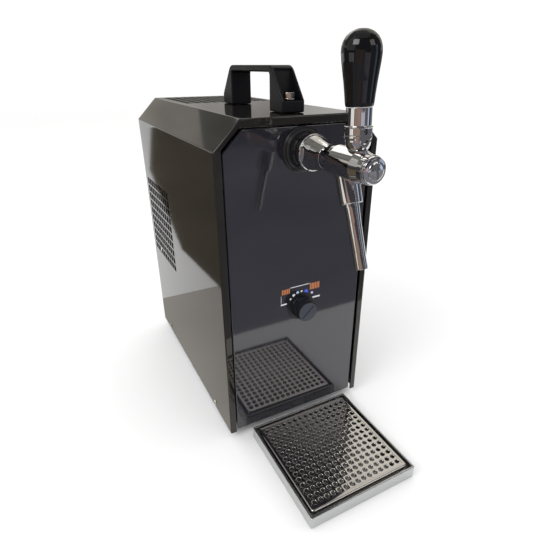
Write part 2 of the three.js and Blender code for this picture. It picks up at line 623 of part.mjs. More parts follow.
// ---------------------------------------------------------------- warm side
function buildWarmSide(group) {
  const { x, y, radius, low, high } = COMPRESSOR;
  const feet = corners(COMPRESSOR_FOOT.x, [-COMPRESSOR_FOOT.y, COMPRESSOR_FOOT.y]);
  const plateLow = low - 6;
  const middle = (low + high) / 2;
  const shell = turnedUpright([
    [0, low], [radius * 0.7, low], [radius * 0.94, low + 14], [radius, middle - 8], [radius, middle + 8],
    [radius * 0.92, high - 18], [radius * 0.6, high - 2], [0, high],
  ], 20);
  place(group, "compressor", cut(
    join(shell, box([-46, -52, plateLow], [46, 52, low + 3])),
    ...feet.map(([, dx, dy]) => rod("z", 5.8, plateLow - 5, low + 5, 10, [dx, dy, 0])),
  ), compressorPaint, [x, y, 0]);

  const floor = FLOOR_CLEARANCE + SHEET + GAP;
  const bush = turnedUpright([
    [0, floor], [9, floor], [8, plateLow - GAP], [5, plateLow - GAP], [5, low + 6], [0, low + 6],
  ], 8);
  for (const [corner, dx, dy] of feet) {
    place(group, `compressor_mount_${corner}`, bush, rubber, [x + dx, y + dy, 0]);
  }

  const air = new THREE.Group();
  air.position.set(0, VENT_Y, VENT_Z);
  group.add(air);
  const { outer, inner, half, fins, pitch } = CONDENSER;
  const grooves = Array.from({ length: fins }, (_, i) => (i - (fins - 1) / 2) * pitch).flatMap((z) => [
    box([outer - 1, 4 - half, z - 2.6], [outer + 9, half - 4, z + 2.6]),
    box([inner - 9, 4 - half, z - 2.6], [inner + 1, half - 4, z + 2.6]),
  ]);
  place(air, "condenser", cut(box([outer, -half, -half], [inner, half, half]), ...grooves), aluminium);

  const spider = FAN.inner - 3;
  const windows = corners(1, [-1, 1]).map(([, v, w]) => box(
    [spider - 1, v * 23 - 17, w * 23 - 17],
    [FAN.inner + 1, v * 23 + 17, w * 23 + 17],
  ));
  place(air, "fan_frame", cut(
    box([FAN.outer, -FAN.half, -FAN.half], [FAN.inner, FAN.half, FAN.half]),
    rod("x", FAN.opening, FAN.outer - 1, spider, 32),
    ...windows,
  ), blackPlastic);
  const motorFront = spider - GAP - 7;
  place(air, "fan_motor", rod("x", 16, motorFront, spider - GAP, 20), blackPlastic);
  const bladeMiddle = FAN.outer + 8.3;
  const blades = Array.from({ length: 5 }, (_, i) => (
    box([-1, -11.5, 10], [1, 11.5, FAN.blade]).rotateZ(0.5).translate(bladeMiddle, 0, 0).rotateX((i / 5) * 2 * Math.PI)
  ));
  place(air, "fan_rotor", join(
    rod("x", FAN.hub, FAN.outer + 2, motorFront - GAP, 20),
    ...blades,
  ), blackPlastic);

  const drier = { x: -28, y: 300, z: 92 };
  place(group, "filter_drier", turnedUpright([
    [0, -38], [3.2, -38], [3.2, -30], [9, -24], [9, 24], [3.2, 30], [3.2, 38], [0, 38],
  ], 16), copper, [drier.x, drier.y, drier.z]);
  place(group, "condenser_line", tube([
    [drier.x, drier.y, drier.z + 38.4], [drier.x, drier.y, 152], [-40, 306, 158], [-60, 306, 158],
    [-76, 306, 154], [-83, 306, VENT_Z - half - 5], [-83, 306, VENT_Z - half - 0.8],
  ], 2.4, 16, 6), copper);
  place(group, "discharge_line", tube([
    [x - 10, y, high + 1], [x - 10, y, high + 20], [0, y, high + 40], [-20, y, VENT_Z + 80], [-60, 240, VENT_Z + 78],
    [-82, 228, VENT_Z + 72], [-83, 226, VENT_Z + half + 5], [-83, 226, VENT_Z + half + 0.8],
  ], 3, 22, 6), copper);
  place(group, "capillary_line", tube([
    [drier.x, drier.y, drier.z - 38.4], [drier.x, drier.y, 40], [-34, 280, 32], [-40, 200, 40], [-30, 178, 120],
    [-20, 172, 240], [0, 168, 300], [0, 150, 316], [0, 126, 312], [0, 124, BLOCK.high + GAP],
  ], 2, 32, 6), copper);
}

// ---------------------------------------------------------------- mains side
function buildElectrics(group) {
  const pins = [-7, 0, 7].map((x) => box([x - 1, -13, -2.5], [x + 1, -5.6, 2.5]));
  const socket = cut(
    join(box([-13.5, -24, -9.5], [13.5, 1, 9.5]), box([-17, GAP, -13], [17, 3, 13])),
    box([-11, -12, -7], [11, 5, 7]),
  );
  place(group, "mains_inlet", join(socket, ...pins), blackPlastic, [INLET_X, REAR_FACE, INLET_Z]);

  place(group, "switch_bezel", cut(
    join(box([-9.6, -16, -6.6], [9.6, 1, 6.6]), box([-12, GAP, -9], [12, 2.2, 9])),
    box([-8, -10, -5.2], [8, 5, 5.2]),
  ), blackPlastic, [SWITCH_X, REAR_FACE, INLET_Z]);
  const rocker = flatPlate(outline([
    [-7.2, 2.6], [-4.5, -2.5], [0, -4.5], [4.5, -2.5], [7.2, 2.6], [0, 1.4],
  ]), -4.8, 4.8);
  const mesh = place(group, "switch_rocker", rocker, glossBlack, [SWITCH_X, REAR_FACE - 2, INLET_Z]);
  mesh.rotation.z = THREE.MathUtils.degToRad(ROCKER_TILT);
}

// ---------------------------------------------------------------- assembly
const cooler = new THREE.Group();
cooler.position.y = -(REAR_LIMIT + TRAY_FRONT) / 2;
buildCasing(cooler);
buildHandle(cooler);
buildThermostat(cooler);
buildTap(cooler);
buildLever(cooler);
buildSpout(cooler);
buildTray(cooler);
buildColdSide(cooler);
buildWarmSide(cooler);
buildElectrics(cooler);

export default cooler;
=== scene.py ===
"""The looks of a one-tap countertop beer cooler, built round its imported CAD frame."""

import math

import bmesh
import bpy
from mathutils import Matrix, Vector

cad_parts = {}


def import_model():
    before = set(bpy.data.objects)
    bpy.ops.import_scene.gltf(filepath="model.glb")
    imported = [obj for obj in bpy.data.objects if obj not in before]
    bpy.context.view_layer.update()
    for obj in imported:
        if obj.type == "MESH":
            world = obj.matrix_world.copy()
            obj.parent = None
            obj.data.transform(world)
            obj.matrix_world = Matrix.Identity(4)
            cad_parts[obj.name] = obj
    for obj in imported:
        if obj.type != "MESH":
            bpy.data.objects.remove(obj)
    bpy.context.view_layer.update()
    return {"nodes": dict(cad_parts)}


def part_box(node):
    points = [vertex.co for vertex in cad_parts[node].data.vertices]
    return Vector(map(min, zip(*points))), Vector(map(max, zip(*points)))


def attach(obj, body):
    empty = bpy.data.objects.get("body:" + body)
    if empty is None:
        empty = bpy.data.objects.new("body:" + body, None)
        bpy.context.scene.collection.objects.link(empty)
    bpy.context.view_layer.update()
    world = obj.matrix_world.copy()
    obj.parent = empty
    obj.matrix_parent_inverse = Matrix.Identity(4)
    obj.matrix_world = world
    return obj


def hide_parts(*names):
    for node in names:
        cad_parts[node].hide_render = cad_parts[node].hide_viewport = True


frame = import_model()

# ---------------------------------------------------------------- dimensions, in millimetres
# They follow the part: x to the right, y from the casing's front edge to its back, z up from the worktop.
MM = 0.001
CASING_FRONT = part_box("cover")[0][1]  # metres, in the row frame
CLEARANCE = 11.0
CASING_HALF = 100.0
CASING_DEPTH = 337.0
CASING_TOP = 402.0
CASING_CHAMFER = 29.5
SHEET = 1.5
BEND = 2.4  # outer radius of the folds along the casing
HEM_BEND = 1.9  # outer radius of the folds round its front and back
FLANGE = (8.3, 8.7, 5.0)  # width of the front and back flanges at the side, top and chamfer
PANEL = (10.0, 10.0, 8.7)
PANEL_RECESS = 2.0
PANEL_BEND = 1.6
PANEL_RETURN = 12.0
PANEL_BOTTOM = CLEARANCE + 1.2
VENT_COUNT = 10
VENT_PITCH = 12.4
VENT_HOLE = 9.8
VENT_Y = 262.0
VENT_Z = 224.0

HANDLE_Y = 104.0
HANDLE_HALF_WIDTH = 13.5
HANDLE_SEAT = CASING_TOP + 0.3
HANDLE_HEIGHT = 45.8
HANDLE_REACH = 83.5
HANDLE_LEG = 52.7
HANDLE_LEDGE = 12.0
HANDLE_WALL = 3.0
HANDLE_BAR = 7.0
HANDLE_BOLT = 73.0

KNOB_X = 3.0
KNOB_Z = 177.0
RING_RADIUS = 18.6
RING_HEIGHT = 0.9

TAP_Z = 367.8
PIVOT_Y = -92.5
PIVOT_Z = 388.8
LEVER_LEAN = math.radians(3.2)
BALL = 11.2
SPOUT_TILT = math.radians(21.8)
SPOUT_Y = -88.3
SPOUT_Z = 336.0
BODY_RADIUS = 14.8

TRAY_HALF = 72.5
TRAY_FRONT = -156.5
TRAY_REAR = -8.5
TRAY_HEIGHT = 17.0
GRILLE_HALF = 67.25
GRILLE_FRONT = -150.0
GRILLE_REAR = -13.0
GRILLE_TOP = 16.6
GRILLE_HOLES = 15
GRILLE_PITCH = 8.4
GRILLE_HOLE = 2.5

# ---------------------------------------------------------------- camera and painted reflections of the surroundings, in metres
CAMERA_X = -0.24334
CAMERA_AHEAD = 0.40740  # in front of the casing's front
CAMERA_HEIGHT = 0.44785
CAMERA_BEARING = math.radians(27.94)
CAMERA_DOWN = math.radians(26.23)
CAMERA_LENS = 28.05  # millimetres
SENSOR_WIDTH = 36.0  # millimetres

FLOOR_REACH = 40
CARD_HEIGHT = 0.0015
WALL_RADIUS = 2.4
DOME_RADIUS = 5.0
DOME_BASE = 0.35

# painted reflections: glowing patches that only show as reflections, lying on the floor; outline on the
# floor, colour
PAINTED_FLOOR_REFLECTIONS = {
    "painted_reflection_floor_left": (
        [
            (-0.245, 0.33), (-0.235, 0.58), (-0.39, 1.63), (-0.76, 3.2), (-3.3, 3.2), (-3.3, -0.31),
            (-0.245, -0.31),
        ],
        (0.11, 0.092, 0.068),
    ),
    "painted_reflection_floor_near": ([(-0.104, -0.31), (-0.104, 0.33), (-0.245, 0.33), (-0.245, -0.31)], (0.64, 0.60, 0.55)),
    "painted_reflection_floor_front": ([(-3.3, -0.31), (3.3, -0.345), (3.3, -3.3), (-3.3, -3.3)], (0.24, 0.24, 0.27)),
}
# painted reflections on a curved wall round the cooler: first and last bearing in degrees, height in metres,
# colour
PAINTED_WALL_REFLECTIONS = {
    "painted_reflection_wall_left": (124, 164, 0.45, (0.05, 0.048, 0.045)),
    "painted_reflection_window_left": (164, 196, 0.42, (0.95, 0.93, 0.90)),
    "painted_reflection_wall_corner": (196, 202, 0.9, (0.05, 0.05, 0.055)),
    "painted_reflection_wall_brown": (202, 254, 0.9, (0.34, 0.235, 0.195)),
    "painted_reflection_wall_pale": (254, 284, 0.45, (0.50, 0.50, 0.62)),
    "painted_reflection_wall_dark": (284, 314, 1.3, (0.12, 0.12, 0.135)),
    "painted_reflection_window_right": (314, 327, 1.3, (0.55, 0.65, 0.85)),
    "painted_reflection_wall_side": (327, 352, 1.3, (0.05, 0.055, 0.07)),
    "painted_reflection_wall_back_right": (352, 402, 0.62, (0.25, 0.25, 0.27)),
}
# painted reflections on a dome overhead: first and last bearing, lowest and highest angle above the horizon,
# all in degrees, and colour
PAINTED_DOME_REFLECTIONS = {
    "painted_reflection_dome_back_low": (0, 63, 1, 9, (0.60, 0.58, 0.55)),
    "painted_reflection_dome_back_low_left": (63, 122, 1, 9, (0.38, 0.36, 0.34)),
    "painted_reflection_dome_left_low": (122, 284, -4, 9, (0.06, 0.06, 0.065)),
    "painted_reflection_dome_back": (0, 82, 9, 62, (0.74, 0.705, 0.645)),
    "painted_reflection_dome_back_left": (82, 140, 9, 18.5, (0.54, 0.51, 0.46)),
    "painted_reflection_dome_back_left_high": (82, 140, 18.5, 62, (0.20, 0.195, 0.18)),
    "painted_reflection_dome_left": (140, 200, 9, 62, (0.5, 0.49, 0.48)),
    "painted_reflection_dome_front_left": (200, 284, 9, 62, (0.06, 0.06, 0.07)),
    "painted_reflection_dome_window": (284, 314, 14, 42, (1.7, 1.6, 1.55)),
    "painted_reflection_dome_under_window": (284, 314, 9, 14, (0.07, 0.07, 0.08)),
    "painted_reflection_dome_over_window": (284, 314, 42, 62, (0.07, 0.07, 0.08)),
    "painted_reflection_dome_right": (314, 360, 9, 62, (0.07, 0.07, 0.08)),
    "painted_reflection_dome_top": (0, 360, 62, 90, (0.30, 0.30, 0.31)),
}


def world(point):
    """A point of the part, in millimetres, as metres in the row frame."""
    x, y, z = point
    return Vector((x * MM, y * MM + CASING_FRONT, z * MM))


# ---------------------------------------------------------------- meshes
def piece(name, verts, faces, material, body, stands_for=(), sharp=32.0, weighted=True):
    """A named piece from millimetre vertices, smooth except at edges sharper than the angle."""
    mesh = bpy.data.meshes.new(name)
    mesh.from_pydata([world(v) for v in verts], [], faces)
    obj = bpy.data.objects.new(name, mesh)
    bpy.context.scene.collection.objects.link(obj)
    outward(mesh)
    dress(obj, material, sharp, weighted)
    if body:
        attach(obj, body)
        if stands_for:
            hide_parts(*stands_for)
    return obj


def outward(mesh):
    """Turns every face outward and welds doubled corners."""
    bm = bmesh.new()
    bm.from_mesh(mesh)
    bmesh.ops.remove_doubles(bm, verts=bm.verts, dist=1e-7)
    bmesh.ops.recalc_face_normals(bm, faces=bm.faces)
    bm.to_mesh(mesh)
    bm.free()


def dress(obj, material, sharp=32.0, weighted=True):
    obj.data.materials.clear()
    obj.data.materials.append(material)
    for polygon in obj.data.polygons:
        polygon.use_smooth = True
    obj.data.set_sharp_from_angle(angle=math.radians(sharp))
    if weighted:
        modifier = obj.modifiers.new("weighted", "WEIGHTED_NORMAL")
        modifier.keep_sharp = True
        modifier.weight = 100


def rounded(profile, steps=5):
    """A profile of (u, v) or (u, v, radius) points with each stated radius turned into an arc."""
    result = []
    last = len(profile) - 1
    for i, point in enumerate(profile):
        radius = point[2] if len(point) > 2 else 0.0
        if radius <= 0 or i in (0, last):
            result.append((point[0], point[1]))
            continue
        here = Vector(point[:2])
        before = Vector(profile[i - 1][:2]) - here
        after = Vector(profile[i + 1][:2]) - here
        result.extend(arc(here, before, after, radius, steps))
    return result


def arc(corner, before, after, radius, steps):
    """Points of the arc that rounds a corner, given the directions to its neighbours."""
    a = before.normalized()
    b = after.normalized()
    half = math.acos(max(-1.0, min(1.0, a.dot(b)))) / 2
    if half > math.pi / 2 - 0.01:
        return [tuple(corner)] * (steps + 1)
    reach = min(radius / math.tan(half), 0.49 * before.length, 0.49 * after.length)
    radius = reach * math.tan(half)
    centre = corner + (a + b).normalized() * (radius / math.sin(half))
    start = corner + a * reach - centre
    end = corner + b * reach - centre
    swing = start.angle_signed(end) if start.length and end.length else 0.0
    points = []
    for k in range(steps + 1):
        turn = -swing * k / steps
        points.append((
            centre.x + start.x * math.cos(turn) - start.y * math.sin(turn),
            centre.y + start.x * math.sin(turn) + start.y * math.cos(turn),
        ))
    return points


def turned(profile, sides, matrix, radius_at=None):
    """Vertices and faces of a profile of (radius, height) turned about its axis.

    It runs from axis to axis, or closes on itself; radius_at(angle, radius, height) may shape it.
    """
    loop = profile[0][0] > 0
    verts = []
    rows = []
    for r, h in profile:
        if r <= 1e-6:
            rows.append([len(verts)])
            verts.append(matrix @ Vector((0, 0, h)))
            continue
        rows.append(list(range(len(verts), len(verts) + sides)))
        for k in range(sides):
            angle = 2 * math.pi * k / sides
            reach = radius_at(angle, r, h) if radius_at else r
            verts.append(matrix @ Vector((reach * math.cos(angle), reach * math.sin(angle), h)))
    faces = []
    pairs = list(zip(rows, rows[1:]))
    if loop:
        pairs.append((rows[-1], rows[0]))
    for low, high in pairs:
        for k in range(sides):
            n = (k + 1) % sides
            face = [low[k % len(low)], low[n % len(low)], high[n % len(high)], high[k % len(high)]]
            face = list(dict.fromkeys(face))
            if len(face) > 2:
                faces.append(face)
    return verts, faces


def towards_back(x, z):
    """Stands a turned piece's axis along Y, at x and z."""
    return Matrix.Translation((x, 0, z)) @ Matrix.Rotation(-math.pi / 2, 4, "X")


LEVER_FRAME = Matrix.Translation((0, PIVOT_Y, PIVOT_Z)) @ Matrix.Rotation(-LEVER_LEAN, 4, "X")
SPOUT_FRAME = Matrix.Translation((0, SPOUT_Y, SPOUT_Z)) @ Matrix.Rotation(-SPOUT_TILT, 4, "X")


def lathe(name, profile, material, body, stands_for, matrix, sides=96, sharp=32.0, radius_at=None):
    verts, faces = turned(profile, sides, matrix, radius_at)
    return piece(name, verts, faces, material, body, stands_for, sharp)


def prism(outline, low, high, matrix=Matrix()):
    """A solid with an outline in its own X and Y, from one height to another."""
    count = len(outline)
    verts = [matrix @ Vector((u, v, h)) for h in (low, high) for u, v in outline]
    faces = [list(range(count))[::-1], list(range(count, 2 * count))]
    faces += [[k, (k + 1) % count, (k + 1) % count + count, k + count] for k in range(count)]
    return verts, faces


def block(low, high):
    """A box from its lowest to its highest corner."""
    outline = [(low[0], low[1]), (high[0], low[1]), (high[0], high[1]), (low[0], high[1])]
    return prism(outline, low[2], high[2])


def shell(rings):
    """Vertices and faces that join rings of equal length and close both ends."""
    width = len(rings[0])
    verts = [v for ring in rings for v in ring]
    faces = []
    for ring in range(len(rings) - 1):
        low, high = ring * width, (ring + 1) * width
        for point in range(width):
            after = (point + 1) % width
            faces.append([low + point, low + after, high + after, high + point])
    faces.append(list(range(width)))
    faces.append(list(range((len(rings) - 1) * width, len(rings) * width)))
    return verts, faces


def carved(obj, cutters, bevel=0.0, segments=3, sharp=32.0, angle=30.0):
    """Cuts solids out of a piece, rounds its edges if asked, and keeps the result as plain mesh."""
    obj.modifiers.clear()
    tools = []
    for index, (verts, faces) in enumerate(cutters):
        mesh = bpy.data.meshes.new("cutter")
        mesh.from_pydata([world(v) for v in verts], [], faces)
        outward(mesh)
        tool = bpy.data.objects.new("cutter", mesh)
        bpy.context.scene.collection.objects.link(tool)
        tools.append(tool)
        modifier = obj.modifiers.new(f"cut{index}", "BOOLEAN")
        modifier.operation = "DIFFERENCE"
        modifier.solver = "EXACT"
        modifier.object = tool
    if bevel:
        add_bevel(obj, bevel, segments, angle)
    shape = bpy.data.meshes.new_from_object(obj.evaluated_get(bpy.context.evaluated_depsgraph_get()))
    obj.modifiers.clear()
    finish = obj.data.materials[0]
    obj.data = shape
    for tool in tools:
        bpy.data.objects.remove(tool, do_unlink=True)
    dress(obj, finish, sharp)


def add_bevel(obj, width, segments=2, angle=30.0):
    modifier = obj.modifiers.new("bevel", "BEVEL")
    modifier.width = width * MM
    modifier.segments = segments
    modifier.limit_method = "ANGLE"
    modifier.angle_limit = math.radians(angle)
    modifier.use_clamp_overlap = False


# ---------------------------------------------------------------- materials
MOTTLE_SCALE = 35.0


def material(name, color, roughness, metallic=0.0, bump=0.0, bump_scale=900.0, mottle=0.08, wear=0.06,
             brushed=None, detail=3.0, ior=1.5, tint=(1, 1, 1)):
    """A procedural finish: colour and roughness vary softly, and the surface has a fine relief."""
    mat = bpy.data.materials.new(name)
    mat.use_nodes = True
    nodes = mat.node_tree.nodes
    links = mat.node_tree.links
    shader = nodes["Principled BSDF"]
    shader.inputs["Metallic"].default_value = metallic
    shader.inputs["IOR"].default_value = ior
    shader.inputs["Specular Tint"].default_value = (*tint, 1)
    place = nodes.new("ShaderNodeTexCoord")
    soft = nodes.new("ShaderNodeTexNoise")
    soft.inputs["Scale"].default_value = MOTTLE_SCALE
    soft.inputs["Detail"].default_value = 4.0
    links.new(place.outputs["Object"], soft.inputs["Vector"])
    shade = nodes.new("ShaderNodeMix")
    shade.data_type = "RGBA"
    shade.inputs["A"].default_value = (*[c * (1 - mottle) for c in color], 1)
    shade.inputs["B"].default_value = (*[min(1, c * (1 + mottle)) for c in color], 1)
    links.new(soft.outputs["Fac"], shade.inputs["Factor"])
    links.new(shade.outputs["Result"], shader.inputs["Base Color"])
    gloss = nodes.new("ShaderNodeMapRange")
    gloss.inputs["To Min"].default_value = max(0.0, roughness * (1 - wear * 4))
    gloss.inputs["To Max"].default_value = min(1.0, roughness * (1 + wear * 4))
    links.new(soft.outputs["Fac"], gloss.inputs["Value"])
    links.new(gloss.outputs["Result"], shader.inputs["Roughness"])
    if bump:
        grain = nodes.new("ShaderNodeTexNoise")
        grain.inputs["Scale"].default_value = bump_scale
        grain.inputs["Detail"].default_value = detail
        source = place.outputs["Object"]
        if brushed:
            stretch = nodes.new("ShaderNodeMapping")
            stretch.inputs["Scale"].default_value = brushed
            links.new(source, stretch.inputs["Vector"])
            source = stretch.outputs["Vector"]
        links.new(source, grain.inputs["Vector"])
        relief = nodes.new("ShaderNodeBump")
        relief.inputs["Strength"].default_value = 1.0
        relief.inputs["Distance"].default_value = bump * MM
        links.new(grain.outputs["Fac"], relief.inputs["Height"])
        links.new(relief.outputs["Normal"], shader.inputs["Normal"])
    return mat


POWDER = material("powder_coat_black", (0.011, 0.010, 0.009), 0.05, bump=0.0010, bump_scale=330.0,
                  detail=2.0, ior=1.56, tint=(1.0, 0.96, 0.90))
FRONT = material("front_gloss_black", (0.014, 0.014, 0.019), 0.06, bump=0.0015, bump_scale=160.0, detail=1.0,
                 ior=1.85)
MOULDED = material("handle_black_moulding", (0.006, 0.006, 0.0075), 0.40, bump=0.010, bump_scale=1800.0,
                   ior=1.33)
PLASTIC = material("black_plastic", (0.011, 0.011, 0.012), 0.3, bump=0.004, bump_scale=1500.0)
KNOB = material("knob_gloss_black", (0.004, 0.004, 0.0045), 0.045, bump=0.0005, bump_scale=200.0, detail=1.0)
DIAL = material("dial_black", (0.008, 0.009, 0.013), 0.2, bump=0.004, bump_scale=1500.0)
# the knob's front face, lighter and bluer than its sides: painted light on the face
DIAL_FACE_PAINTED_LIGHT = material("dial_face_painted_light", (0.040, 0.044, 0.058), 0.3, bump=0.004, bump_scale=1500.0)
CHROME = material("chrome_plate", (0.68, 0.675, 0.665), 0.05, metallic=1.0, mottle=0.04, wear=0.06,
                  bump=0.035, bump_scale=110.0, detail=1.5)
STEEL = material("tray_satin_steel", (0.53, 0.535, 0.535), 0.26, metallic=1.0, mottle=0.05,
                 bump=0.0035, bump_scale=900.0, brushed=(1.0, 0.06, 1.0))
MIRROR = material("grille_polished_steel", (0.66, 0.645, 0.62), 0.085, metallic=1.0, mottle=0.05,
                  bump=0.002, bump_scale=240.0, detail=2.0)
ZINC = material("zinc_plate", (0.42, 0.43, 0.44), 0.38, metallic=1.0, bump=0.004, bump_scale=1200.0,
                mottle=0.12)
NICKEL = material("bolt_nickel", (0.68, 0.66, 0.60), 0.2, metallic=1.0, bump=0.004, bump_scale=900.0)
RUBBER = material("rubber_black", (0.014, 0.014, 0.014), 0.72, bump=0.02, bump_scale=1500.0)
FOAM = material("insulating_foam", (0.62, 0.58, 0.47), 0.9, bump=0.12, bump_scale=700.0, mottle=0.12)
HOSE = material("beer_hose", (0.55, 0.60, 0.58), 0.3, bump=0.003)
ALUMINIUM = material("bare_aluminium", (0.55, 0.56, 0.57), 0.36, metallic=1.0, bump=0.006, bump_scale=900.0)
COPPER = material("copper_tube", (0.72, 0.32, 0.18), 0.26, metallic=1.0, bump=0.003, mottle=0.15)
PAINT = material("compressor_black", (0.010, 0.010, 0.011), 0.35, bump=0.006, bump_scale=700.0)
WHITE_INK = material("ink_white", (0.72, 0.73, 0.74), 0.4, bump=0.003)
ORANGE_INK = material("ink_orange", (0.55, 0.19, 0.06), 0.45, bump=0.004, bump_scale=1500.0)
SKY_INK = material("ink_pale_blue", (0.38, 0.58, 0.80), 0.4, bump=0.003)
BLUE_INK = material("ink_blue", (0.05, 0.11, 0.72), 0.4, bump=0.003)
VIOLET_INK = material("ink_violet", (0.60, 0.55, 0.85), 0.4, bump=0.003)


# ---------------------------------------------------------------- casing
def arch(side, top, chamfer, bend, steps, wall_marks=(), roof_marks=(), bottom=CLEARANCE):
    """The casing's outline in x and z, inset at side, top and chamfer, with rounded folds and marks."""
    wall = CASING_HALF - side
    eaves = CASING_TOP - CASING_CHAMFER + side - chamfer * math.sqrt(2)
    shoulder = CASING_HALF - CASING_CHAMFER + top - chamfer * math.sqrt(2)
    roof = CASING_TOP - top
    corners = [Vector(c) for c in (
        (-wall, bottom), (-wall, eaves), (-shoulder, roof), (shoulder, roof), (wall, eaves), (wall, bottom),
    )]
    points = [tuple(corners[0])]
    for i in range(1, 5):
        if i == 1:
            points += [(-wall, z) for z in wall_marks]
        if i == 3:
            points += [(x, roof) for x in roof_marks]
        points += arc(corners[i], corners[i - 1] - corners[i], corners[i + 1] - corners[i], bend, steps)
    points += [(wall, z) for z in reversed(wall_marks)]
    points.append(tuple(corners[5]))
    return points


def vent_edges(middle):
    """The edges of a row of vent holes: low and high of each hole in turn."""
    edges = []
    for i in range(VENT_COUNT):
        centre = middle + (i - (VENT_COUNT - 1) / 2) * VENT_PITCH
        edges += [centre - VENT_HOLE / 2, centre + VENT_HOLE / 2]
    return edges


def build_cover():
    steps = 6
    fold_steps = 5
    walls = vent_edges(VENT_Z)
    roofs = vent_edges(0.0)
    along = vent_edges(VENT_Y)

    def even(inset):
        return arch(inset, inset, inset, max(BEND - inset, 0.4), steps, walls, roofs)

    def lip(less=0.0):
        return arch(*[f - less for f in FLANGE], 0.5, steps, walls, roofs)

    def fold(y_edge, way):
        """Rings over the outer fold from the flange's face to the wall; way is 1 at the front."""
        rings = []
        for k in range(fold_steps + 1):
            turn = math.pi / 2 * k / fold_steps
            inset = HEM_BEND * (1 - math.sin(turn))
            rings.append((y_edge + way * HEM_BEND * (1 - math.cos(turn)), even(inset)))
        return rings

    back = CASING_DEPTH
    rings = [(SHEET, lip()), (0.35, lip()), (0.0, lip(0.35))] + fold(0.0, 1)
    outer_start = len(rings)
    rings += [(y, even(0.0)) for y in along]
    rings += fold(back, -1)[::-1]
    rings += [(back, lip(0.35)), (back - 0.35, lip()), (back - SHEET, lip())]
    rings += [(back - SHEET, even(SHEET + 0.5)), (back - SHEET - 0.5, even(SHEET))]
    inner_start = len(rings)
    rings += [(y, even(SHEET)) for y in reversed(along)]
    rings += [(SHEET + 0.5, even(SHEET)), (SHEET, even(SHEET + 0.5))]

    width = len(rings[0][1])
    verts = [(x, y, z) for y, outline in rings for x, z in outline]

    def at(ring, point):
        return (ring % len(rings)) * width + point

    # the outline's point numbers of the marks on the left wall, the roof and the right wall
    marks = len(walls)
    left = 1
    top = 1 + marks + 2 * (steps + 1)
    right = top + marks + 2 * (steps + 1)
    hole_columns = {first + 2 * i for first in (left, top, right) for i in range(VENT_COUNT)}
    outer_rows = {outer_start + 2 * i for i in range(VENT_COUNT)}
    inner_rows = {inner_start + 2 * i for i in range(VENT_COUNT)}
    faces = []
    for ring in range(len(rings)):
        for point in range(width - 1):
            if point in hole_columns and (ring in outer_rows or ring in inner_rows):
                continue
            faces.append([at(ring, point), at(ring, point + 1), at(ring + 1, point + 1), at(ring + 1, point)])
    inner_end = inner_start + marks - 1
    for row in range(VENT_COUNT):
        near, far = outer_start + 2 * row, outer_start + 2 * row + 1
        near_in, far_in = inner_end - 2 * row, inner_end - 2 * row - 1
        for point in sorted(hole_columns):
            hole = [
                (near, near_in, point), (far, far_in, point),
                (far, far_in, point + 1), (near, near_in, point + 1),
            ]
            for k in range(4):
                a, b = hole[k], hole[(k + 1) % 4]
                faces.append([at(a[0], a[2]), at(b[0], b[2]), at(b[1], b[2]), at(a[1], a[2])])
    for point in (0, width - 1):
        faces.append([at(ring, point) for ring in range(len(rings))])
    piece("casing_cover", verts, faces, POWDER, "casing", ["cover"], sharp=35)


def build_front_panel():
    steps = 3
    fold_steps = 5
    face = PANEL_RECESS

    def edge(inset):
        return arch(*[p + inset for p in PANEL], 1.2, steps, bottom=PANEL_BOTTOM + inset)

    rings = []
    for k in range(fold_steps + 1):
        turn = math.pi / 2 * k / fold_steps
        rings.append((face + PANEL_BEND * (1 - math.cos(turn)), edge(PANEL_BEND * (1 - math.sin(turn)))))
    rings.append((face + PANEL_RETURN, edge(0.0)))
    rings.append((face + PANEL_RETURN, edge(SHEET)))
    rings.append((face + SHEET, edge(SHEET)))
    verts, faces = shell([[(x, y, z) for x, z in outline] for y, outline in rings])
    piece("front_skin", verts, faces, FRONT, "casing", ["front_panel"], sharp=35)


